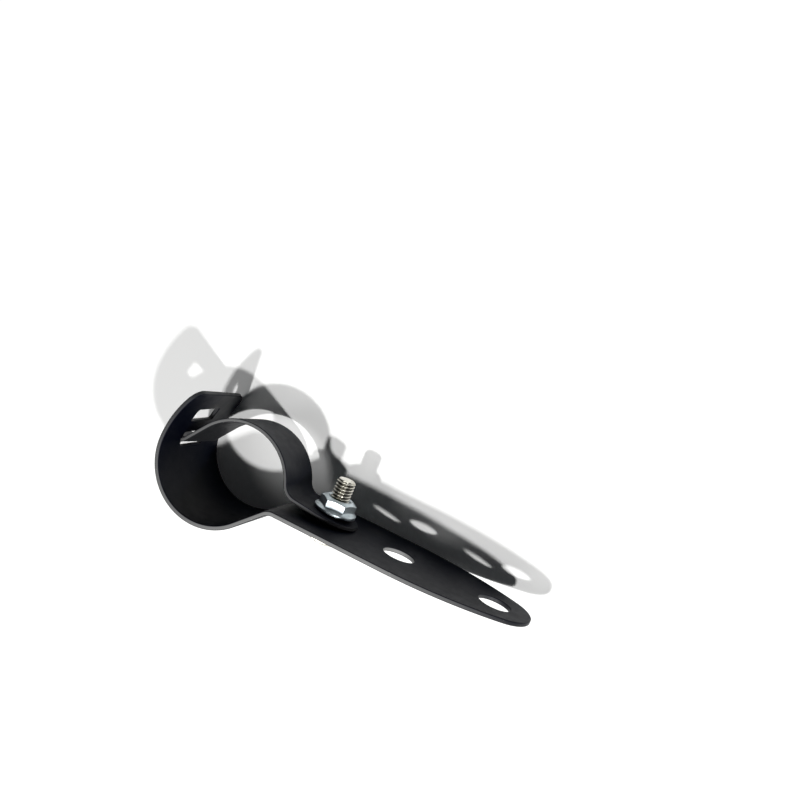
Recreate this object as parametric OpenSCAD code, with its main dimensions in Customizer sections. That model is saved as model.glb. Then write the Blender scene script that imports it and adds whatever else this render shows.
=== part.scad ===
// Headlight mounting bracket for a motorbike fork tube.
// Origin: on the axis of the clamp band, halfway up its width.
// +X runs along the arm to its tip, +Y points to the strap's side, +Z runs along the fork tube.

/* [Band and arm] */
// Width of the sheet, from edge to edge
band_w = 38; // [32:1:48]
// Thickness of the band and of the arm
sheet_t = 1.4; // [1:0.1:2]
// Radius inside the band, where the fork tube seats
tube_r = 17.7; // [16:0.1:20]
// Distance from the tube's axis to the arm's inner face
arm_offset = 4.3; // [3:0.1:6]
// Angle between the arm and the neck that leads into the band
neck_angle = 44; // [38:1:52]
// Radius in the middle of the sheet where the arm turns into the neck
neck_r = 4.2; // [2.5:0.1:6]
// Angle of the band that hugs the tube
wrap_angle = 138; // [125:1:150]
// Radius in the middle of the sheet along the opened free end
free_end_r = 32; // [26:1:45]
// Length of the opened free end along its longer edge
free_end_l = 18.6; // [16:0.2:24]
// How much shorter the free end is along its other edge
free_end_skew = 3.8; // [1:0.2:5]
// Radius of the corner at the longer edge
long_corner_r = 3.5; // [1:0.5:6]
// Radius of the corner at the shorter edge
short_corner_r = 6.5; // [1:0.5:7]

/* [Arm outline] */
// Distance from the tube's axis to the clamp bolt
bolt_x = 34.5; // [33:0.5:40]
// Distance from the tube's axis to the middle lamp hole
middle_hole_x = 58; // [54:0.5:64]
// Distance from the tube's axis to the end lamp hole
end_hole_x = 89.5; // [84:0.5:100]
// Diameter of the two lamp holes
lamp_hole_d = 10; // [6:0.5:12]
// Distance from the tube's axis to where the arm starts to narrow
taper_x = 58.5; // [50:0.5:66]
// Radius of the arm's round tip
tip_r = 11.5; // [9:0.5:14]

/* [Hook slots] */
// Length of each hook slot, across the band
slot_l = 13.8; // [13:0.2:20]
// Width of each hook slot, round the band
slot_w = 4.6; // [3.5:0.1:5.5]
// Corner radius of the hook slots
slot_corner_r = 0.8; // [0.3:0.1:1.5]
// Distance from the band's free end to the middle of the first slot
slot_from_end = 11.3; // [9:0.1:12.6]
// Distance between the middles of the two slots
slot_pitch = 8.8; // [7:0.1:10]

/* [Clamp strap] */
// Width of the strap
strap_w = 21; // [17:0.5:26]
// Thickness of the strap
strap_t = 1.2; // [0.8:0.1:1.6]
// Radius inside the strap's arc, a little tighter than the tube
strap_r = 17.2; // [16.8:0.1:18]
// Distance from the clamp bolt to the strap's round end
strap_end = 8.2; // [7:0.1:10]
// How far the strap's arc sits along the arm from the tube's axis
strap_shift_x = 3.4; // [2:0.1:4]
// How far the strap's arc sits back towards the band
strap_shift_y = 4.5; // [3.8:0.1:5]
// Tilt of the loose strap's flange away from the arm, towards the band
flange_tilt = 5.6; // [4:0.2:8]
// Tip of the loose strap to one side of the band
strap_tip = 3.6; // [1:0.2:4.6]
// Radius in the middle of the sheet where the flange turns into the arc
strap_bend_r = 5.5; // [3:0.1:6.5]
// Slope of the flat stretch that leads down to the hook
hook_slope = 51.5; // [47:0.5:55]
// Radius in the middle of the sheet where the strap turns into its hook tab
tab_bend_r = 3; // [2:0.1:4]
// How far the strap's shoulders stop short of the band's wall
shoulder_gap = 0.7; // [0.5:0.1:3]
// Radius of the shoulders' corners
shoulder_r = 0.8; // [0.4:0.1:2]
// Distance from the tube's axis plane to the middle of the hook tab
tab_y = -0.7; // [-0.9:0.1:-0.2]
// Width of the hook tab
tab_w = 11.8; // [8:0.1:12.4]
// How far the hook tab stands out past the band
tab_reach = 4; // [2:0.5:6]
// Radius of the hook tab's corners
tab_corner_r = 1.2; // [0.4:0.2:3]

/* [Bolt and nut] */
// Thread diameter of the clamp bolt
bolt_d = 6; // [5:0.5:6]
// Length of the bolt under its head
bolt_l = 15; // [13:1:20]
// Diameter of the bolt holes in the arm and in the strap
bolt_hole_d = 6.8; // [6.4:0.1:7.4]
// Width across the flats of the bolt head and of the nut
hex_af = 10; // [8:0.5:10]
// Diameter of the flanges on the bolt head and on the nut
washer_d = 13.3; // [12:0.1:14]
// Thickness of those flanges at their rim
washer_t = 1; // [0.8:0.1:1.5]
// Height of the bolt head
head_h = 5.4; // [4.5:0.1:7]
// Height of the nut
nut_h = 4.6; // [4.2:0.1:7]

/* [Hidden] */
$fn = 96;
// Clearance between the bolt's thread and the nut's
thread_clearance = 0.05;
// Clearance where the loose strap rests on the arm and the nut on the strap
seat_clearance = 0.03;
// Clearance where the hook tab rests on the end of its slot
slot_clearance = 0.05;
// Depth and width of the round recess in the bolt head
recess_depth = 0.35;
recess_d = 6.4;
// Slope of the flanges' upper face, as a rise over the distance from the hex
washer_rise = 0.6;
// Chamfer on the bolt's end and in the nut's mouth
thread_chamfer = 0.6;
// How far a cutter runs past the face that it cuts
past = 1;
// How far a corner's arc stands out past the sides that it joins
corner_ease = 0.05;
// Largest turn of one facet in a bend
facet_turn = 3;
// Depth of the cutters that trim a whole folded sheet from the side
trim_depth = 100;

arm_y = -arm_offset - sheet_t / 2;
band_mid_r = tube_r + sheet_t / 2;
strap_mid_r = strap_r + strap_t / 2;

// A folded sheet is a start pose [x, y, heading] and a list of stretches along its middle.
// A flat stretch is [length, 0]. A bend is [radius, turn], with the turn positive to the left.
function stretch_length(s) = s[1] == 0 ? s[0] : s[0] * abs(s[1]) * PI / 180;

function walk(at, s, share) =
    s[1] == 0
    ? [at.x + share * s[0] * cos(at.z), at.y + share * s[0] * sin(at.z), at.z]
    : let (heading = at.z + share * s[1], r = sign(s[1]) * s[0])
      [at.x + r * (sin(heading) - sin(at.z)), at.y - r * (cos(heading) - cos(at.z)), heading];

function sheet_length(sheet, i = 0) =
    i == len(sheet) ? 0 : stretch_length(sheet[i]) + sheet_length(sheet, i + 1);

// Pose on the sheet's middle at a distance from its start
function pose(at, sheet, distance, i = 0) =
    let (l = i < len(sheet) ? stretch_length(sheet[i]) : 0)
    i == len(sheet) ? at
    : distance < l ? walk(at, sheet[i], distance / l)
    : pose(walk(at, sheet[i], 1), sheet, distance - l, i + 1);

// Pose at the start of stretch number n
function start_of(at, sheet, n, i = 0) =
    i == n ? at : start_of(walk(at, sheet[i], 1), sheet, n, i + 1);

// Path of the arm and band, from the arm's tip to the band's free end
neck_l = (band_mid_r * cos(neck_angle) + arm_y - neck_r * (1 - cos(neck_angle))) / sin(neck_angle);
neck_x = (band_mid_r + neck_r) * sin(neck_angle) + neck_l * cos(neck_angle);
tip_x = end_hole_x + tip_r;
band_start = [tip_x, arm_y, 180];
band_sheet = [
    [tip_x - neck_x, 0],
    [neck_r, neck_angle],
    [neck_l, 0],
    [band_mid_r, -wrap_angle],
    [free_end_r, -free_end_l / free_end_r * 180 / PI]
];
band_length = sheet_length(band_sheet);

// Path of the strap, from its round end past the bolt to the tip of its hook tab
strap_heading = 180 - flange_tilt;
along = [cos(strap_heading), sin(strap_heading)];
outward = [sin(strap_heading), -cos(strap_heading)];
// The tilted and tipped flange rests on the arm with one spot of its round end
fall = sin(flange_tilt) * cos(strap_tip);
flange_up = cos(flange_tilt) * cos(strap_tip);
flange_lift = strap_t / 2 * flange_up + strap_w / 2 * norm([fall, sin(strap_tip)])
    - (strap_w / 2 - strap_end) * fall + seat_clearance;
strap_at_bolt = [bolt_x, flange_lift - arm_offset];
// The loose strap swings on the bolt until its hook tab meets the end of its slot
tab_sink = (tab_y + strap_t / 2 - strap_at_bolt.y) * sin(strap_tip);
strap_swing = asin(((slot_l - tab_w) / 2 - tab_sink - slot_clearance) / (bolt_x + tube_r + sheet_t));
arc_centre = [strap_shift_x, -strap_shift_y];
centre_along = (arc_centre - strap_at_bolt) * along;
centre_out = (arc_centre - strap_at_bolt) * outward;
flange_l = centre_along - sqrt(pow(strap_mid_r + strap_bend_r, 2) - pow(centre_out - strap_bend_r, 2));
bend_centre = strap_at_bolt + flange_l * along + strap_bend_r * outward;
arc_start = atan2(bend_centre.y - arc_centre.y, bend_centre.x - arc_centre.x);
arc_heading = arc_start + 90;
hook_drop = arc_centre.y + strap_mid_r * cos(hook_slope) - tab_y - tab_bend_r * (1 - cos(hook_slope));
hook_l = hook_drop / sin(hook_slope);
tab_start_x = arc_centre.x - (strap_mid_r + tab_bend_r) * sin(hook_slope) - hook_l * cos(hook_slope);
tab_tip_x = -sqrt(pow(band_mid_r + sheet_t / 2, 2) - pow(tab_y, 2)) - tab_reach;
strap_start = [
    strap_at_bolt.x - (strap_end + past) * along.x,
    strap_at_bolt.y - (strap_end + past) * along.y,
    strap_heading
];
strap_sheet = [
    [past + strap_end + flange_l, 0],
    [strap_bend_r, arc_heading - strap_heading],
    [strap_mid_r, 180 + hook_slope - arc_heading],
    [hook_l, 0],
    [tab_bend_r, -hook_slope],
    [tab_start_x - tab_tip_x + past, 0]
];

// The nut bears on the strap's slanted flange with one spot of its rim
nut_seat_y = strap_at_bolt.y
    + (strap_t / 2 + washer_d / 2 * sqrt(1 - flange_up * flange_up)) / flange_up + seat_clearance;

module at_pose(at) {
    translate([at.x, at.y, 0]) rotate([0, 0, at.z]) children();
}

// Points along one side of a folded sheet, at an offset to the left of its middle
function side_points(at, sheet, offset) = [
    for (i = [0 : len(sheet)])
        let (
            from = start_of(at, sheet, i),
            steps = i == len(sheet) || sheet[i][1] == 0 ? 1 : ceil(abs(sheet[i][1]) / facet_turn)
        )
        for (k = [0 : steps - 1])
            let (p = i == len(sheet) ? from : walk(from, sheet[i], k / steps))
            [p.x - offset * sin(p.z), p.y + offset * cos(p.z)]
];

function reversed(points) = [for (i = [len(points) - 1 : -1 : 0]) points[i]];

// Points of an arc from one angle up to, but without, another
function arc(centre, r, from, to) =
    let (steps = ceil(abs(to - from) / facet_turn))
    [for (i = [0 : steps - 1]) let (a = from + (to - from) * i / steps) centre + r * [cos(a), sin(a)]];

module folded(at, sheet, t, w) {
    linear_extrude(w, center = true)
        polygon(concat(side_points(at, sheet, t / 2), reversed(side_points(at, sheet, -t / 2))));
}

// Turns a flat outline in X and Z into a cutter that runs through a sheet along Y
module through(t) {
    rotate([90, 0, 0]) linear_extrude(t + 2 * past, center = true) children();
}

// Trims the band's free end, which ends at the origin, to its slanted edge and round corners
module free_end_cutter() {
    side = band_w / 2;
    slant = atan(free_end_skew / band_w);
    long_x = -long_corner_r * (1 + sin(slant)) / cos(slant);
    short_x = -(short_corner_r + (band_w - short_corner_r) * sin(slant)) / cos(slant);
    through(free_end_l / 2) difference() {
        translate([short_x, -side - past / 2]) square([past - short_x, band_w + past]);
        polygon(concat(
            [[short_x - past, side + past], [long_x, side + past]],
            arc([long_x, side - long_corner_r + corner_ease], long_corner_r, 90, -slant),
            arc([short_x, short_corner_r - side - corner_ease], short_corner_r, -slant, -90),
            [[short_x, -side - past], [short_x - past, -side - past]]
        ));
    }
}

module rounded_slot(l, w, r) {
    square([w - 2 * r, l], center = true);
    square([w, l - 2 * r], center = true);
    for (x = [-1, 1], y = [-1, 1]) translate([x * (w / 2 - r), y * (l / 2 - r)]) circle(r);
}

// Outline of the arm: straight sides, then an arc on each side that runs into the round tip
module arm_outline() {
    reach = end_hole_x - taper_x;
    side_r = (pow(reach, 2) + pow(band_w / 2, 2) - pow(tip_r, 2)) / (band_w - 2 * tip_r);
    meet = atan2(side_r - band_w / 2, reach);
    polygon(concat(
        [[-trim_depth, band_w / 2 + past], [taper_x - past, band_w / 2 + past]],
        arc([taper_x, band_w / 2 - side_r], side_r, 90, meet),
        arc([end_hole_x, 0], tip_r, meet, -meet),
        arc([taper_x, side_r - band_w / 2], side_r, -meet, -90),
        [[taper_x, -band_w / 2], [taper_x - past, -band_w / 2 - past], [-trim_depth, -band_w / 2 - past]]
    ));
}

module arm_band() {
    color([0.03, 0.03, 0.035]) difference() {
        intersection() {
            folded(band_start, band_sheet, sheet_t, band_w);
            through(trim_depth) arm_outline();
        }
        for (x = [middle_hole_x, end_hole_x])
            translate([x, arm_y, 0]) rotate([90, 0, 0])
                cylinder(h = sheet_t + 2 * past, d = lamp_hole_d, center = true);
        translate([bolt_x, arm_y, 0]) rotate([90, 0, 0])
            cylinder(h = sheet_t + 2 * past, d = bolt_hole_d, center = true);
        for (from_end = [slot_from_end, slot_from_end + slot_pitch])
            at_pose(pose(band_start, band_sheet, band_length - from_end))
                through(sheet_t) rounded_slot(slot_l, slot_w, slot_corner_r);
        at_pose(pose(band_start, band_sheet, band_length)) free_end_cutter();
    }
}

// Outline of the strap: round past the bolt, shoulders near the band's wall, then the hook tab
module strap_outline() {
    shoulder_x = shoulder_gap - tube_r;
    shoulder = [shoulder_x + shoulder_r, strap_w / 2 - shoulder_r];
    end_centre = [bolt_x + strap_end - strap_w / 2, 0];
    corner = [tab_tip_x + tab_corner_r, tab_w / 2 - tab_corner_r];
    polygon(concat(
        arc(shoulder, shoulder_r, 180, 90),
        [[shoulder.x, strap_w / 2]],
        arc(end_centre, strap_w / 2, 90, -90),
        [[end_centre.x, -strap_w / 2]],
        arc([shoulder.x, -shoulder.y], shoulder_r, -90, -180),
        [[shoulder_x, -shoulder.y], [shoulder_x, -tab_w / 2]],
        arc([corner.x, -corner.y], tab_corner_r, -90, -180),
        [[tab_tip_x, -corner.y]],
        arc(corner, tab_corner_r, 180, 90),
        [[corner.x, tab_w / 2], [shoulder_x, tab_w / 2]]
    ));
}

// Lets the strap hang loose on the bolt, tipped and swung about the middle of its flange
module hung_loose() {
    at = [strap_at_bolt.x, strap_at_bolt.y, 0];
    translate(at) rotate([-strap_tip, -strap_swing, 0]) translate(-at) children();
}

module clamp_strap() {
    color([0.035, 0.035, 0.04]) hung_loose() difference() {
        intersection() {
            folded(strap_start, strap_sheet, strap_t, strap_w + 2 * past);
            through(trim_depth) strap_outline();
        }
        at_pose([strap_at_bolt.x, strap_at_bolt.y, strap_heading]) rotate([90, 0, 0])
            cylinder(h = strap_t + 2 * past, d = bolt_hole_d, center = true);
    }
}

// A hexagon with a round flange under it, standing on the origin along Z
module flanged_hex(h) {
    hex_r = hex_af / sqrt(3);
    bevel = hex_r - hex_af / 2;
    cylinder(h = washer_t, d = washer_d);
    translate([0, 0, washer_t])
        cylinder(h = washer_rise, r1 = washer_d / 2, r2 = hex_af / 2);
    intersection() {
        cylinder(h = h, r = hex_r, $fn = 6);
        union() {
            cylinder(h = h - bevel, r = hex_r + past);
            translate([0, 0, h - bevel])
                cylinder(h = bevel, r1 = hex_r, r2 = hex_af / 2 - bevel);
        }
    }
}

module flange_bolt() {
    color([0.75, 0.75, 0.73])
        translate([bolt_x, -arm_offset - sheet_t, 0]) {
            rotate([90, 0, 0]) difference() {
                flanged_hex(head_h);
                translate([0, 0, head_h - recess_depth]) cylinder(h = recess_depth + past, d = recess_d);
            }
            rotate([-90, 0, 0]) {
                cylinder(h = bolt_l - thread_chamfer, d = bolt_d);
                translate([0, 0, bolt_l - thread_chamfer])
                    cylinder(h = thread_chamfer, r1 = bolt_d / 2, r2 = bolt_d / 2 - thread_chamfer);
            }
        }
}

module flange_nut() {
    bore_r = bolt_d / 2 + thread_clearance;
    color([0.68, 0.72, 0.75])
        translate([bolt_x, nut_seat_y, 0]) rotate([-90, 0, 0]) difference() {
            flanged_hex(nut_h);
            translate([0, 0, -past]) cylinder(h = nut_h + 2 * past, r = bore_r);
            translate([0, 0, nut_h - thread_chamfer])
                cylinder(h = thread_chamfer + past, r1 = bore_r, r2 = bore_r + thread_chamfer + past);
        }
}

arm_band();
clamp_strap();
flange_bolt();
flange_nut();
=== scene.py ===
import math

import bmesh
import bpy
from mathutils import Matrix, Vector
from mathutils.geometry import tessellate_polygon


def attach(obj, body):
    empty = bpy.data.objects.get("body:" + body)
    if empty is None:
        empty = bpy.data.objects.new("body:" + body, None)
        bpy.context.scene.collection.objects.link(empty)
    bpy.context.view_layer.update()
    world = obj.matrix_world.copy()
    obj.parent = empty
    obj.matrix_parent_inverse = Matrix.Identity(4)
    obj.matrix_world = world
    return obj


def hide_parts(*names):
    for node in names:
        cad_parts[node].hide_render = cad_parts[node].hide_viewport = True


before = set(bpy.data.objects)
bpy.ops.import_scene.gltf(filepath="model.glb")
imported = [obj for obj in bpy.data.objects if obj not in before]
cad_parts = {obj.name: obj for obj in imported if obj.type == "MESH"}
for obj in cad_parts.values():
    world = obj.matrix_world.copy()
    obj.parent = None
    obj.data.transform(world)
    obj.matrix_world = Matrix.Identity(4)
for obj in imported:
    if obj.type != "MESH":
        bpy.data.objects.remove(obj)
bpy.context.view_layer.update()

# Sizes are in millimetres and angles in degrees, in the frame of the CAD model.
MM = 0.001
BODY = "root"

# Band and arm
BAND_W = 38.0
SHEET_T = 1.4
TUBE_R = 17.7
ARM_OFFSET = 4.3
NECK_ANGLE = 44.0
NECK_R = 4.2
WRAP_ANGLE = 138.0
FREE_END_R = 32.0
FREE_END_L = 18.6
FREE_END_SKEW = 3.8
LONG_CORNER_R = 3.5
SHORT_CORNER_R = 6.5

# Arm outline
BOLT_X = 34.5
LAMP_HOLES_X = (58.0, 89.5)
LAMP_HOLE_D = 10.0
TAPER_X = 58.5
TIP_R = 11.5

# Hook slots
SLOT_L = 13.8
SLOT_W = 4.6
SLOT_CORNER_R = 0.8
SLOTS_FROM_END = (11.3, 20.1)

# Clamp strap
STRAP_W = 21.0
STRAP_T = 1.2
STRAP_R = 17.2
STRAP_END = 8.2
STRAP_SHIFT = (3.4, -4.5)
FLANGE_TILT = 5.6
STRAP_TIP = 3.6
STRAP_BEND_R = 5.5
HOOK_SLOPE = 51.5
TAB_BEND_R = 3.0
SHOULDER_GAP = 0.7
SHOULDER_R = 0.8
TAB_Y = -0.7
TAB_W = 11.8
TAB_REACH = 4.0
TAB_CORNER_R = 1.2
SEAT_CLEARANCE = 0.03
SLOT_CLEARANCE = 0.05

# Bolt and nut
BOLT_D = 6.0
BOLT_L = 15.0
BOLT_HOLE_D = 6.8
THREAD_PITCH = 1.0
THREAD_DEPTH = 0.55
THREAD_CREST = 0.16
THREAD_FLANK = 0.66
THREAD_CLEARANCE = 0.05
THREAD_CHAMFER = 0.6
HEX_AF = 10.0
WASHER_D = 13.3
WASHER_T = 1.0
WASHER_RISE = 0.6
HEAD_H = 5.4
NUT_H = 4.6
NUT_TURN = 12.0
RECESS_D = 6.4
RECESS_DEPTH = 0.35

# Mark of a washer round the end lamp hole, and its width where it is strong and where it ends
WASHER_MARK_R = 9.8
WASHER_MARK_W = (0.6, 1.6)

# Share of painted highlight and of bare-metal wear on the cut edges, as (distance along the sheet, share)
ARM_EDGE_HIGHLIGHT_AND_WEAR = ((0.0, 0.02), (10.0, 0.06), (33.0, 0.45), (50.0, 1.0), (100.0, 0.6), (125.0, 0.38), (145.0, 0.1),
            (155.0, 0.05))
STRAP_EDGE_HIGHLIGHT_AND_WEAR = ((0.0, 0.2), (25.0, 0.3), (60.0, 0.5), (80.0, 0.3))

# Rounded edges of the sheets
EDGE_R = 0.28
EDGE_SUPPORT = 0.25

# Rounded edges of the bolt head and nut. A fillet is rows of (distance out, height above the flange's
# slope), and a lip is rows of (distance out, depth below the top).
HEX_CORNER_R = 0.35
HEX_EDGE_R = 0.12
HEX_EDGE_DROP = 0.144
HEX_EDGE_SUPPORT = 0.3
HEX_TOP_SLOPE = 0.5
CROWN_SHARES = (0.999, 0.94, 0.5, 0.06, 0.0)
FLANGE_EDGE_R = 0.2
FLANGE_EDGE_SUPPORT = 0.25
FLANGE_FILLET = ((0.45, 0.0), (0.25, 0.04), (0.08, 0.16), (0.0, 0.38))
RECESS_LIP = ((0.25, 0.0), (0.1, 0.03), (-0.05, 0.16))
RECESS_FLOOR_INSET = 0.25
MOUTH_LIP = ((0.1, 0.0), (0.0, 0.04))
BORE_EDGE = 0.02
BOLT_END_R = 1.2
SHANK_OVERLAP = 0.1

# Fineness of the meshes. The skin keeps them that far inside the CAD model.
EDGE_STEPS = 4
ARC_STEP = 6.0
FINE_ARC_R = 8.0
BEND_STEP = 1.5
BEND_STEP_R = 40.0
HEX_SIDE_STEPS = 12
HEX_CORNER_STEPS = 6
THREAD_SIDES = 64
THREAD_ROWS = 10
MERGE = 0.002
SKIN = 0.004

# Stage
FLOOR_SIZE = 3000.0
CAMERA_PLACE = (120.07, 84.06, 297.29)
CAMERA_TURN = (-1.982, 17.114, 23.179)
LENS = 47.38
SENSOR = 36.0
LIGHT_AIM = (35.0, 0.0, 0.0)

# Lamps: name, direction from the object, distance and size in metres, and power in watts
LAMPS = (
    ("high_key", (0.03, -0.35, 1.0), 1.2, 0.05, 9.5),
    ("side_key", (0.70, -0.28, 1.0), 1.2, 0.05, 11.0),
    ("window", (-0.35, -0.35, 1.0), 1.1, 0.40, 3.0),
)


def sin(angle):
    return math.sin(math.radians(angle))


def cos(angle):
    return math.cos(math.radians(angle))


def polar(r, angle, h):
    return r * cos(angle), r * sin(angle), h


# Paths of folded sheets
# A pose is (x, y, heading). A stretch is (length, 0) or (radius, turn), with left turns positive.
def stretch_length(stretch):
    size, turn = stretch
    return size if turn == 0 else size * math.radians(abs(turn))


def walk(pose, stretch, distance):
    x, y, heading = pose
    size, turn = stretch
    if turn == 0:
        return x + distance * cos(heading), y + distance * sin(heading), heading
    r = math.copysign(size, turn)
    turned = heading + math.degrees(distance / r)
    return x + r * (sin(turned) - sin(heading)), y - r * (cos(turned) - cos(heading)), turned


class Path:
    """The middle line of a folded sheet."""

    def __init__(self, start, stretches):
        self.stretches = []
        self.length = 0.0
        pose = start
        for stretch in stretches:
            length = stretch_length(stretch)
            self.stretches.append((self.length, pose, stretch))
            self.length += length
            pose = walk(pose, stretch, length)

    def pose(self, s):
        found = self.stretches[0]
        for row in self.stretches:
            if s >= row[0]:
                found = row
        begin, pose, stretch = found
        return walk(pose, stretch, s - begin)

    def place(self, s, n, z):
        """Point at a distance along the sheet, at an offset to the left of its middle and at a height."""
        x, y, heading = self.pose(s)
        return Vector((x - n * sin(heading), y + n * cos(heading), z))

    def cuts(self):
        """Distances at which a flat mesh is cut, so that it can follow the bends."""
        found = []
        for begin, _, stretch in self.stretches:
            size, turn = stretch
            if turn != 0:
                steps = math.ceil(abs(turn) / BEND_STEP * max(1.0, size / BEND_STEP_R))
                found += [begin + stretch_length(stretch) * k / steps for k in range(steps + 1)]
        return found


# Flat outlines, as points (s, z) with the material on their left
def arc(centre, r, start, end):
    steps = max(2, math.ceil(abs(end - start) / ARC_STEP * max(1.0, r / FINE_ARC_R)))
    angles = [start + (end - start) * k / steps for k in range(steps + 1)]
    return [(centre[0] + r * cos(a), centre[1] + r * sin(a)) for a in angles]


def circle_hole(centre, d):
    return arc(centre, d / 2, 360, 0)[:-1]


def filleted(corners):
    """Outline of straight sides with a fillet at each corner (s, z, radius)."""
    points = []
    for k, (s, z, r) in enumerate(corners):
        before, after = corners[k - 1], corners[(k + 1) % len(corners)]
        here = Vector((s, z))
        if r == 0:
            points.append((s, z))
            continue
        back = (Vector(before[:2]) - here).normalized()
        ahead = (Vector(after[:2]) - here).normalized()
        half = back.angle(ahead) / 2
        centre = here + (back + ahead).normalized() * r / math.sin(half)
        left_turn = (here - Vector(before[:2])).cross(ahead) > 0
        sweep = math.pi - 2 * half
        first = here + back * r / math.tan(half) - centre
        start = math.degrees(math.atan2(first.y, first.x))
        end = start + math.degrees(sweep if left_turn else -sweep)
        points += arc(centre, r, start, end)
    return points


def slot_hole(middle, width, length, corner_r):
    s0, s1 = middle - width / 2, middle + width / 2
    z1 = length / 2
    return filleted([(s0, -z1, corner_r), (s0, z1, corner_r), (s1, z1, corner_r), (s1, -z1, corner_r)])


def inset(points, distance):
    """The same outline, moved into the material."""
    moved = []
    for k, p in enumerate(points):
        here = Vector(p)
        a = (here - Vector(points[k - 1])).normalized()
        b = (Vector(points[(k + 1) % len(points)]) - here).normalized()
        left = Vector((-a.y - b.y, a.x + b.x)) / (1 + a.dot(b))
        moved.append(here + left * distance)
    return moved


# Meshes
def finish_mesh(bm, name, material, node):
    bmesh.ops.recalc_face_normals(bm, faces=bm.faces)
    mesh = bpy.data.meshes.new(name)
    bm.to_mesh(mesh)
    bm.free()
    mesh.shade_smooth()
    piece = bpy.data.objects.new(name, mesh)
    bpy.context.scene.collection.objects.link(piece)
    mesh.materials.append(material)
    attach(piece, BODY)
    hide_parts(node)


def edge_rows(thickness):
    """(inset, height) of each ring of vertices over a sheet's rounded edge, from its left face on."""
    top = thickness / 2 - SKIN
    turns = [90 * k / EDGE_STEPS for k in range(EDGE_STEPS + 1)]
    upper = [(EDGE_R * (1 - sin(a)), top - EDGE_R * (1 - cos(a))) for a in turns]
    upper = [(EDGE_R + EDGE_SUPPORT, top)] + upper
    return upper + [(across, -up) for across, up in reversed(upper)]


def between(points, s):
    """Value at a distance on a line through (distance, value) points."""
    for (low, a), (high, b) in zip(points, points[1:]):
        if s <= high:
            return a + (b - a) * (s - low) / (high - low)
    return points[-1][1]


def sheet_mesh(path, outline, holes, thickness, edge_highlight_and_wear):
    """A sheet with rounded edges, built flat and then folded along its path. Its cut edges get a share of
    painted highlight and bare-metal wear that changes along the sheet.
    """
    bm = bmesh.new()
    rim = bm.verts.layers.float.new("rim")
    rows = edge_rows(thickness)
    rings = {0: [], len(rows) - 1: []}
    cut_face = (len(rows) // 2 - 1, len(rows) // 2)
    for loop in [outline] + holes:
        last = None
        for k, (across, up) in enumerate(rows):
            ring = [bm.verts.new((p[0], p[1], up)) for p in inset(loop, across + SKIN)]
            for v in ring:
                v[rim] = 1.0 if k in cut_face else 0.0
            if last:
                for i in range(len(ring)):
                    bm.faces.new((last[i - 1], ring[i - 1], ring[i], last[i]))
            if k in rings:
                rings[k].append(ring)
            last = ring
    for loops in rings.values():
        flat = [v for ring in loops for v in ring]
        for corners in tessellate_polygon([[v.co for v in ring] for ring in loops]):
            bm.faces.new([flat[i] for i in corners])
    for s in path.cuts():
        geometry = bm.verts[:] + bm.edges[:] + bm.faces[:]
        bmesh.ops.bisect_plane(bm, geom=geometry, dist=1e-5, plane_co=(s, 0, 0), plane_no=(1, 0, 0))
    left = bm.verts.layers.float.new("left_face")
    for v in bm.verts:
        s, z, n = v.co
        v[left] = 0.5 + n / thickness
        # Scales the cut edges' painted highlight and bare-metal wear by the share at this distance along the
        # sheet
        v[rim] *= between(edge_highlight_and_wear, s)
        v.co = path.place(s, n, z) * MM
    return bm


def band_path():
    arm_y = -ARM_OFFSET - SHEET_T / 2
    mid_r = TUBE_R + SHEET_T / 2
    neck_l = (mid_r * cos(NECK_ANGLE) + arm_y - NECK_R * (1 - cos(NECK_ANGLE))) / sin(NECK_ANGLE)
    neck_x = (mid_r + NECK_R) * sin(NECK_ANGLE) + neck_l * cos(NECK_ANGLE)
    tip_x = LAMP_HOLES_X[1] + TIP_R
    return Path((tip_x, arm_y, 180.0), [
        (tip_x - neck_x, 0),
        (NECK_R, NECK_ANGLE),
        (neck_l, 0),
        (mid_r, -WRAP_ANGLE),
        (FREE_END_R, -math.degrees(FREE_END_L / FREE_END_R)),
    ])


def band_outline(path):
    """Round tip, an arc on each side out to the full width, and a slanted free end with round corners."""
    half = BAND_W / 2
    reach = LAMP_HOLES_X[1] - TAPER_X
    side_r = (reach ** 2 + half ** 2 - TIP_R ** 2) / (BAND_W - 2 * TIP_R)
    meet = math.degrees(math.atan2(side_r - half, reach))
    taper_s = reach + TIP_R
    end = path.length
    corners = [(end - FREE_END_SKEW, -half, SHORT_CORNER_R), (end, half, LONG_CORNER_R)]
    free_end = filleted([(0, -half, 0)] + corners + [(0, half, 0)])[1:-1]
    side = arc((taper_s, half - side_r), side_r, 90, 180 - meet)
    tip = arc((TIP_R, 0), TIP_R, 180 - meet, 180 + meet)[1:-1]
    mirrored = [(s, -z) for s, z in reversed(side)]
    return free_end + side + tip + mirrored


def make_arm_band(material):
    path = band_path()
    tip_x = path.stretches[0][1][0]
    holes = [circle_hole((tip_x - x, 0), LAMP_HOLE_D) for x in LAMP_HOLES_X]
    holes.append(circle_hole((tip_x - BOLT_X, 0), BOLT_HOLE_D))
    holes += [slot_hole(path.length - d, SLOT_W, SLOT_L, SLOT_CORNER_R) for d in SLOTS_FROM_END]
    bm = sheet_mesh(path, band_outline(path), holes, SHEET_T, ARM_EDGE_HIGHLIGHT_AND_WEAR)
    finish_mesh(bm, "bracket_arm", material, "arm_band")


# How steeply the loose strap's flange falls along the strap, and the share of its normal along Y
FLANGE_FALL = sin(FLANGE_TILT) * cos(STRAP_TIP)
FLANGE_UP = cos(FLANGE_TILT) * cos(STRAP_TIP)


def strap_at_bolt():
    """Middle of the flange, whose round end rests on the arm with one spot."""
    spread = STRAP_W / 2 * math.hypot(FLANGE_FALL, sin(STRAP_TIP))
    lift = STRAP_T / 2 * FLANGE_UP + spread - (STRAP_W / 2 - STRAP_END) * FLANGE_FALL + SEAT_CLEARANCE
    return Vector((BOLT_X, lift - ARM_OFFSET))


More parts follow.
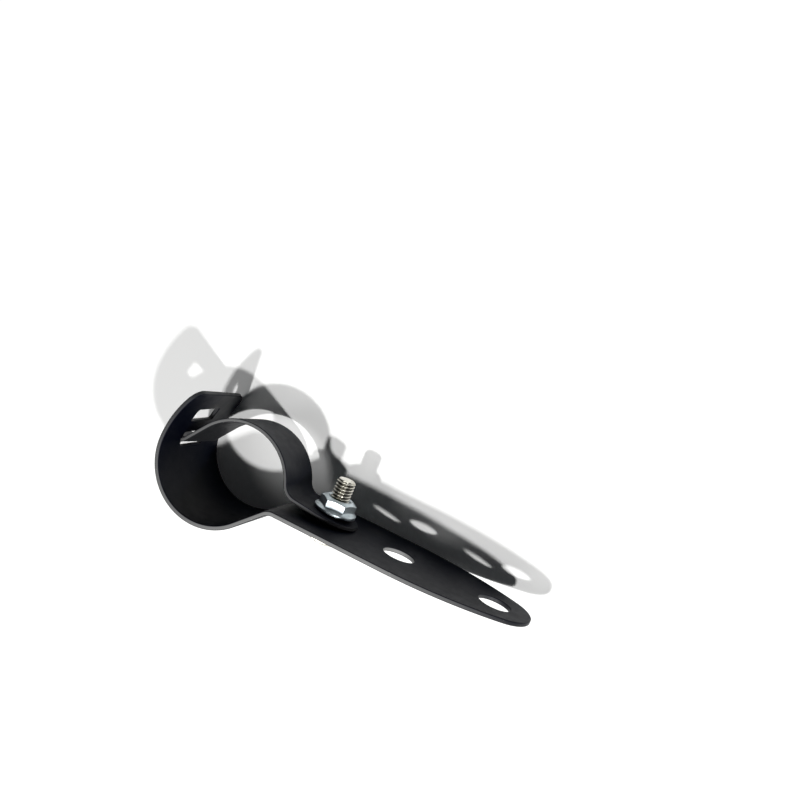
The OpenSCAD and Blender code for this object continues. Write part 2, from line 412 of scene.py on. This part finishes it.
def strap_path():
    """From the strap's round end past the bolt to the tip of its hook tab."""
    mid_r = STRAP_R + STRAP_T / 2
    heading = 180.0 - FLANGE_TILT
    along = Vector((cos(heading), sin(heading)))
    outward = Vector((along.y, -along.x))
    at_bolt = strap_at_bolt()
    centre = Vector(STRAP_SHIFT)
    across = (centre - at_bolt).dot(outward)
    reach = math.sqrt((mid_r + STRAP_BEND_R) ** 2 - (across - STRAP_BEND_R) ** 2)
    flange_l = (centre - at_bolt).dot(along) - reach
    bend = at_bolt + along * flange_l + outward * STRAP_BEND_R - centre
    arc_heading = math.degrees(math.atan2(bend.y, bend.x)) + 90
    drop = centre.y + mid_r * cos(HOOK_SLOPE) - TAB_Y - TAB_BEND_R * (1 - cos(HOOK_SLOPE))
    hook_l = drop / sin(HOOK_SLOPE)
    tab_x = centre.x - (mid_r + TAB_BEND_R) * sin(HOOK_SLOPE) - hook_l * cos(HOOK_SLOPE)
    tip_x = -math.sqrt((TUBE_R + SHEET_T) ** 2 - TAB_Y ** 2) - TAB_REACH
    end_l = STRAP_END / cos(FLANGE_TILT)
    start = at_bolt - along * end_l
    return Path((start.x, start.y, heading), [
        (end_l + flange_l, 0),
        (STRAP_BEND_R, arc_heading - heading),
        (mid_r, 180 + HOOK_SLOPE - arc_heading),
        (hook_l, 0),
        (TAB_BEND_R, -HOOK_SLOPE),
        (tab_x - tip_x, 0),
    ])


def strap_outline(path):
    """Round past the bolt, shoulders near the band's wall, then the hook tab."""
    half = STRAP_W / 2
    tab_s, tab_pose, _ = path.stretches[5]
    before_tab = SHOULDER_GAP - TUBE_R - tab_pose[0]
    shoulder = tab_s - TAB_BEND_R * math.asin(before_tab / TAB_BEND_R)
    corners = [(0, half, 0), (shoulder, half, SHOULDER_R), (shoulder, TAB_W / 2, 0),
               (path.length, TAB_W / 2, TAB_CORNER_R)]
    mirrored = [(s, -z, r) for s, z, r in corners]
    side = filleted(mirrored + corners[::-1])[1:-1]
    return side + arc((half, 0), half, 90, 270)


def hung_loose():
    """The loose strap tips on the bolt, and swings until its hook tab meets the end of its slot."""
    at_bolt = strap_at_bolt()
    sink = (TAB_Y + STRAP_T / 2 - at_bolt.y) * sin(STRAP_TIP)
    swing = math.asin(((SLOT_L - TAB_W) / 2 - sink - SLOT_CLEARANCE) / (BOLT_X + TUBE_R + SHEET_T))
    at = Matrix.Translation(at_bolt.to_3d() * MM)
    turn = Matrix.Rotation(-swing, 4, "Y") @ Matrix.Rotation(math.radians(-STRAP_TIP), 4, "X")
    return at @ turn @ at.inverted()


def make_clamp_strap(material):
    path = strap_path()
    holes = [circle_hole((STRAP_END / cos(FLANGE_TILT), 0), BOLT_HOLE_D)]
    bm = sheet_mesh(path, strap_outline(path), holes, STRAP_T, STRAP_EDGE_HIGHLIGHT_AND_WEAR)
    bmesh.ops.transform(bm, verts=bm.verts, matrix=hung_loose())
    finish_mesh(bm, "strap_with_hook", material, "clamp_strap")


# Distance from a hexagon's middle to the centre of a corner's arc, and half the angle of that arc as
# seen from the middle
CORNER_REACH = (HEX_AF / 2 - HEX_CORNER_R) / cos(30)
CORNER_BEND = math.degrees(math.atan2(HEX_CORNER_R / 2, CORNER_REACH + HEX_CORNER_R * cos(30)))


# Turned and hexagonal forms stand on the origin along +Z until they are placed.
def hex_angles():
    """Angles round a hexagon, close together on its rounded corners."""
    flat = 60 - 2 * CORNER_BEND
    angles = []
    for corner in range(0, 360, 60):
        angles += [corner + CORNER_BEND * (2 * i / HEX_CORNER_STEPS - 1) for i in range(HEX_CORNER_STEPS + 1)]
        angles += [corner + CORNER_BEND + flat * i / HEX_SIDE_STEPS for i in range(1, HEX_SIDE_STEPS)]
    return angles


def hex_radius(angle):
    """Distance from the middle of the hexagon to its side, with rounded corners."""
    off = (angle + 30) % 60 - 30
    if abs(off) <= CORNER_BEND:
        return CORNER_REACH * cos(off) + math.sqrt(HEX_CORNER_R ** 2 - (CORNER_REACH * sin(off)) ** 2)
    return HEX_AF / 2 / cos(30 - abs(off))


def lofted(bm, rows, closed_end=False):
    """Joins rows of points, each one all round, and closes the last with one face where asked."""
    last = None
    for row in rows:
        ring = [bm.verts.new(p) for p in row]
        if last:
            for i in range(len(ring)):
                bm.faces.new((last[i - 1], last[i], ring[i], ring[i - 1]))
        last = ring
    if closed_end:
        bm.faces.new(last)


def flanged_hex_rows(height):
    """Rows of the outside of a flanged hexagon, from under its flange up to the edge of its top."""
    angles = hex_angles()
    rim = WASHER_D / 2 - SKIN
    slope = WASHER_RISE / (WASHER_D / 2 - HEX_AF / 2)
    top_r = HEX_AF - HEX_AF / math.sqrt(3)

    def rim_row(out, up, base):
        return [polar(rim - FLANGE_EDGE_R * (1 - out), a, base + FLANGE_EDGE_R * up) for a in angles]

    def foot_row(gap, rise):
        """Where the flange's slope meets the hexagon's side."""
        row = []
        for a in angles:
            r = hex_radius(a) + gap
            row.append(polar(r, a, WASHER_T + slope * (rim - r) + rise))
        return row

    def crown_height(r):
        return height - SKIN - max(0.0, r - top_r) * HEX_TOP_SLOPE

    def side_row(lower):
        """On the hexagon's side, below its chamfered crown."""
        return [polar(hex_radius(a), a, crown_height(hex_radius(a)) - 2 * HEX_EDGE_R - lower) for a in angles]

    def crown_row(share):
        """On the chamfered crown, from its inner circle at 0 to the hexagon's side at 1."""
        row = []
        for a in angles:
            r = top_r + (hex_radius(a) - top_r) * share
            row.append(polar(r, a, crown_height(r) - HEX_EDGE_DROP * share))
        return row

    turns = (0, 30, 60, 90)
    rows = [rim_row(sin(a), 1 - cos(a), SKIN) for a in turns]
    rows += [rim_row(cos(a), sin(a) - 1, WASHER_T) for a in turns]
    rows += [foot_row(gap, rise) for gap, rise in FLANGE_FILLET]
    rows += [side_row(HEX_EDGE_SUPPORT), side_row(0)]
    rows += [crown_row(share) for share in CROWN_SHARES]
    return rows


def turned_rows(profile):
    return [[polar(r, a, h) for a in hex_angles()] for r, h in profile]


def thread_depth(share):
    """Depth of a thread below its crest over one pitch, from 0 to 1."""
    tooth = abs((share % 1.0) - 0.5) * 2
    return min(1.0, max(0.0, (tooth - THREAD_CREST) / THREAD_FLANK))


def thread_rows(crest_r, depth, length):
    """Rows of the bolt's thread along its helix. Each row rises by one pitch in a full turn."""
    turns = math.ceil(length / THREAD_PITCH) + 2
    rows = []
    for k in range(-THREAD_ROWS, turns * THREAD_ROWS):
        row = []
        for i in range(THREAD_SIDES + 1):
            h = min(length, max(0.0, (k / THREAD_ROWS + i / THREAD_SIDES) * THREAD_PITCH))
            r = crest_r - depth * thread_depth(h / THREAD_PITCH - i / THREAD_SIDES)
            r = min(r, crest_r - max(0.0, h - (BOLT_L - THREAD_CHAMFER)))
            row.append(polar(r, 360 * i / THREAD_SIDES, h))
        rows.append(row)
    return rows


def helical(bm, rows):
    """Joins thread rows. The end of each row meets the start of the one a pitch above it."""
    grid = [[bm.verts.new(p) for p in row] for row in rows]
    for k in range(1, len(grid)):
        for i in range(THREAD_SIDES):
            bm.faces.new((grid[k - 1][i], grid[k - 1][i + 1], grid[k][i + 1], grid[k][i]))


def clean(bm):
    bmesh.ops.remove_doubles(bm, verts=bm.verts, dist=MERGE)
    bmesh.ops.dissolve_degenerate(bm, edges=bm.edges, dist=MERGE / 2)


def place_along_y(bm, y, up):
    """Turns a form that stands along +Z to stand along +Y or -Y on the bolt's axis."""
    turn = Matrix.Rotation(math.radians(-90 if up else 90), 4, "X")
    place = Matrix.Translation((BOLT_X, y, 0))
    bmesh.ops.transform(bm, verts=bm.verts, matrix=Matrix.Scale(MM, 4) @ place @ turn)


def make_bolt(material):
    under_head = -ARM_OFFSET - SHEET_T
    recess_r, recess_h = RECESS_D / 2, HEAD_H - RECESS_DEPTH
    recess = [(recess_r + out, HEAD_H - SKIN - down) for out, down in RECESS_LIP]
    recess += [(recess_r - RECESS_FLOOR_INSET, recess_h), (recess_r / 2, recess_h)]
    head = bmesh.new()
    lofted(head, flanged_hex_rows(HEAD_H) + turned_rows(recess), closed_end=True)
    underside = [(WASHER_D / 2 - FLANGE_EDGE_SUPPORT, SKIN), (BOLT_D / 2 - SHANK_OVERLAP, SKIN)]
    lofted(head, turned_rows(underside))
    clean(head)
    place_along_y(head, under_head, False)

    shank = bmesh.new()
    helical(shank, thread_rows(BOLT_D / 2 - SKIN, THREAD_DEPTH, BOLT_L - SKIN))
    clean(shank)
    place_along_y(shank, under_head, True)

    end = bmesh.new()
    end_rows = turned_rows([(BOLT_D / 2 - THREAD_CHAMFER, BOLT_L - SKIN), (BOLT_END_R, BOLT_L - SKIN)])
    lofted(end, end_rows, closed_end=True)
    place_along_y(end, under_head, True)

    for part in (shank, end):
        joined = bpy.data.meshes.new("part")
        part.to_mesh(joined)
        part.free()
        head.from_mesh(joined)
        bpy.data.meshes.remove(joined)
    finish_mesh(head, "hex_flange_bolt", material, "flange_bolt")


def nut_seat_y():
    """The nut bears on the strap's slanted flange with one spot of its rim."""
    rise = STRAP_T / 2 + WASHER_D / 2 * math.sqrt(1 - FLANGE_UP ** 2)
    return strap_at_bolt().y + rise / FLANGE_UP + SEAT_CLEARANCE


def make_nut(material):
    bore = BOLT_D / 2 + THREAD_CLEARANCE
    bottom = [(bore, BORE_EDGE), (WASHER_D / 2 - FLANGE_EDGE_SUPPORT, SKIN)]
    inside = [(bore + THREAD_CHAMFER + out, NUT_H - SKIN - down) for out, down in MOUTH_LIP]
    inside += [(bore, NUT_H - THREAD_CHAMFER), (bore, BORE_EDGE)]
    nut = bmesh.new()
    lofted(nut, turned_rows(bottom) + flanged_hex_rows(NUT_H) + turned_rows(inside))
    clean(nut)
    bmesh.ops.transform(nut, verts=nut.verts, matrix=Matrix.Rotation(math.radians(NUT_TURN), 4, "Z"))
    place_along_y(nut, nut_seat_y(), True)
    finish_mesh(nut, "hex_flange_nut", material, "flange_nut")


# Materials
class Material:
    """Short names for the node calls that the materials share."""

    def __init__(self, name):
        self.material = bpy.data.materials.new(name)
        self.material.use_nodes = True
        self.tree = self.material.node_tree
        self.shader = self.tree.nodes["Principled BSDF"]
        self.place = self.node("ShaderNodeTexCoord").outputs["Object"]

    def node(self, kind, settings=None, **inputs):
        made = self.tree.nodes.new(kind)
        for name, value in (settings or {}).items():
            setattr(made, name, value)
        for name, value in inputs.items():
            self.put(made.inputs[name.replace("_", " ")], value)
        return made

    def attribute(self, name):
        return self.node("ShaderNodeAttribute", {"attribute_name": name}).outputs["Fac"]

    def axis(self, name):
        return self.node("ShaderNodeSeparateXYZ", Vector=self.place).outputs[name]

    def put(self, socket, value):
        if isinstance(value, bpy.types.NodeSocket):
            self.tree.links.new(value, socket)
        else:
            socket.default_value = value

    def math(self, operation, a, b=0.0):
        made = self.tree.nodes.new("ShaderNodeMath")
        made.operation = operation
        self.put(made.inputs[0], a)
        self.put(made.inputs[1], b)
        return made.outputs[0]

    def times(self, a, b):
        return self.math("MULTIPLY", a, b)

    def off_axis(self, centre_x):
        """Distance from the line along Y that crosses the middle plane at an X."""
        off = self.math("SUBTRACT", self.axis("X"), centre_x * MM)
        squares = self.math("ADD", self.math("POWER", off, 2.0), self.math("POWER", self.axis("Z"), 2.0))
        return self.math("SQRT", squares)

    def noise(self, scale, detail, roughness, place=None):
        made = self.node("ShaderNodeTexNoise", Scale=scale, Detail=detail, Roughness=roughness)
        self.put(made.inputs["Vector"], place or self.place)
        return made.outputs["Fac"]

    def ramp(self, value, low, high, low_out=0.0, high_out=1.0):
        made = self.tree.nodes.new("ShaderNodeMapRange")
        for name, number in (("Value", value), ("From Min", low), ("From Max", high),
                             ("To Min", low_out), ("To Max", high_out)):
            self.put(made.inputs[name], number)
        return made.outputs["Result"]

    def mix(self, share, a, b):
        made = self.node("ShaderNodeMix", {"data_type": "RGBA"})
        self.put(made.inputs["Factor"], share)
        self.put(made.inputs[6], a)
        self.put(made.inputs[7], b)
        return made.outputs[2]

    def bump(self, height, strength, distance):
        made = self.node("ShaderNodeBump", Strength=strength, Distance=distance, Height=height)
        return made.outputs["Normal"]

    def finish(self, **inputs):
        for name, value in inputs.items():
            self.put(self.shader.inputs[name.replace("_", " ")], value)
        return self.material


def scratch_mask(m):
    """Fine scratches in three directions, each in a few patches."""
    found = None
    for turn, scale in ((24, 900.0), (-38, 700.0), (81, 1100.0)):
        stretched = m.node("ShaderNodeMapping", Vector=m.place, Rotation=(0, math.radians(turn), 0),
                           Scale=(0.05, 1, 1)).outputs["Vector"]
        streaks = m.ramp(m.noise(scale, 1.0, 0.3, stretched), 0.765, 0.785)
        patches = m.ramp(m.noise(95.0 + turn, 2.0, 0.5), 0.58, 0.64)
        line = m.times(streaks, patches)
        found = line if found is None else m.math("MAXIMUM", found, line)
    return found


def washer_mark(m):
    """The broken ring that a washer left on the arm's outer face."""
    off_ring = m.math("ABSOLUTE", m.math("SUBTRACT", m.off_axis(LAMP_HOLES_X[1]), WASHER_MARK_R * MM))
    ring = m.ramp(off_ring, WASHER_MARK_W[0] / 2 * MM, WASHER_MARK_W[1] / 2 * MM, 1.0, 0.0)
    return m.times(ring, m.ramp(m.noise(520.0, 4.0, 0.65), 0.42, 0.62))


def powder_coat():
    """Satin black coat with orange peel, dust, scratches, a washer's mark and bare metal rubbed through at
    the cut edges. The cut edges are painted grey, a painted highlight, and the left face is painted lighter,
    a painted sheen.
    """
    m = Material("powder_coat")
    # The left face is the arm's outer one and the strap's inner one
    left, rim = m.attribute("left_face"), m.attribute("rim")
    cloud = m.noise(60.0, 3.0, 0.5)
    scratches = m.times(scratch_mask(m), left)
    mark = m.times(washer_mark(m), left)
    specks = m.ramp(m.noise(2600.0, 1.0, 0.5), 0.745, 0.775)
    dust = m.times(specks, m.ramp(left, 0.0, 1.0, 0.25, 1.0))
    bare = m.times(rim, m.ramp(m.noise(700.0, 4.0, 0.7), 0.67, 0.72))

    base = m.mix(m.ramp(cloud, 0.3, 0.7), (0.0006, 0.0014, 0.0055, 1), (0.0016, 0.0026, 0.0080, 1))
    for share, tone in (
        # Painted sheen: the left face is painted lighter than the other face of the same coat, for the light
        # that falls on it
        (m.times(left, 0.55), (0.034, 0.0345, 0.034, 1)),
        # Painted highlight: the cut edges are painted light grey
        (m.times(rim, m.ramp(cloud, 0.3, 0.7, 0.75, 1.0)), (0.23, 0.23, 0.225, 1)),
        (m.times(mark, 0.8), (0.004, 0.0045, 0.006, 1)),
        (m.times(scratches, 0.5), (0.13, 0.13, 0.125, 1)),
        (m.times(dust, 0.5), (0.3, 0.3, 0.28, 1)),
        (bare, (0.42, 0.42, 0.40, 1)),
    ):
        base = m.mix(share, base, tone)

    rough = m.ramp(m.noise(240.0, 4.0, 0.6), 0.3, 0.7, 0.42, 0.52)
    rough = m.math("SUBTRACT", rough, m.times(mark, 0.1))
    peel = m.math("ADD", m.noise(1500.0, 2.0, 0.45), m.times(m.noise(5200.0, 2.0, 0.6), 0.25))
    height = m.math("SUBTRACT", peel, m.times(m.math("ADD", scratches, bare), 0.8))
    normal = m.bump(height, 0.5, 0.00002)
    return m.finish(Base_Color=base, Metallic=bare, Roughness=rough, Normal=normal, IOR=1.21)


def groove_shade_mask(m):
    """The bolt's thread grooves, from under its head to the chamfer of its end, where painted shade goes."""
    y = m.axis("Y")
    under_head = -ARM_OFFSET - SHEET_T
    end = under_head + BOLT_L
    deep = m.ramp(m.off_axis(BOLT_X), (BOLT_D / 2 - 0.38) * MM, (BOLT_D / 2 - 0.12) * MM, 1.0, 0.0)
    past_head = m.ramp(y, (under_head - 0.1) * MM, (under_head + 0.1) * MM)
    before_end = m.ramp(y, (end - 0.2) * MM, (end - 0.3) * MM)
    return m.times(m.times(deep, past_head), before_end)


def zinc(name, tone, dark, dullness):
    """Bright zinc plate with a cloudy tone, fine grain and dull spots, and painted shade in the thread's
    grooves.
    """
    m = Material(name)
    fine = m.noise(3800.0, 2.0, 0.5)
    spots = m.ramp(m.noise(1300.0, 3.0, 0.6), 0.62, 0.72)
    base = m.mix(m.ramp(m.noise(420.0, 4.0, 0.6), 0.35, 0.72), tone, dark)
    base = m.mix(m.times(spots, 0.5), base, (0.22, 0.22, 0.21, 1))
    # Painted shade: the thread's grooves are painted dark
    base = m.mix(m.times(groove_shade_mask(m), 0.9), base, (0.035, 0.032, 0.025, 1))
    rough = m.math("ADD", m.ramp(fine, 0.3, 0.7, dullness, dullness + 0.12), m.times(spots, 0.2))
    return m.finish(Base_Color=base, Metallic=1.0, Roughness=rough, Normal=m.bump(fine, 0.25, 0.00001))


# Stage, lights and camera
def make_floor():
    mesh = bpy.data.meshes.new("floor")
    half = FLOOR_SIZE / 2 * MM
    z = -BAND_W / 2 * MM
    corners = [(-half, -half, z), (half, -half, z), (half, half, z), (-half, half, z)]
    mesh.from_pydata(corners, [], [(0, 1, 2, 3)])
    floor = bpy.data.objects.new("floor", mesh)
    bpy.context.scene.collection.objects.link(floor)
    mesh.materials.append(Material("pale_floor").finish(Base_Color=(0.86, 0.86, 0.85, 1), Roughness=0.6))


def make_lamp(name, direction, distance, size, power):
    """A square lamp that looks at the middle of the object from a direction."""
    lamp = bpy.data.lights.new(name, "AREA")
    lamp.size = size
    lamp.energy = power
    holder = bpy.data.objects.new(name, lamp)
    way = Vector(direction).normalized()
    holder.location = Vector(LIGHT_AIM) * MM + way * distance
    holder.rotation_euler = way.to_track_quat("Z", "Y").to_euler()
    bpy.context.scene.collection.objects.link(holder)


def make_world():
    world = bpy.data.worlds.new("soft_world")
    world.use_nodes = True
    background = world.node_tree.nodes["Background"]
    background.inputs["Color"].default_value = (0.9, 0.95, 1.0, 1)
    background.inputs["Strength"].default_value = 0.05
    bpy.context.scene.world = world


def make_camera():
    lens = bpy.data.cameras.new("camera")
    lens.sensor_width = SENSOR
    lens.lens = LENS
    lens.clip_start = 0.01
    camera = bpy.data.objects.new("camera", lens)
    camera.location = Vector(CAMERA_PLACE) * MM
    camera.rotation_euler = [math.radians(a) for a in CAMERA_TURN]
    bpy.context.scene.collection.objects.link(camera)
    bpy.context.scene.camera = camera


coat = powder_coat()
make_camera()
make_arm_band(coat)
make_clamp_strap(coat)
make_bolt(zinc("bolt_zinc", (0.70, 0.68, 0.61, 1), (0.45, 0.43, 0.36, 1), 0.24))
make_nut(zinc("nut_zinc", (0.52, 0.58, 0.61, 1), (0.34, 0.39, 0.41, 1), 0.34))
make_floor()
for lamp in LAMPS:
    make_lamp(*lamp)
make_world()
bpy.context.scene.view_settings.view_transform = "Standard"
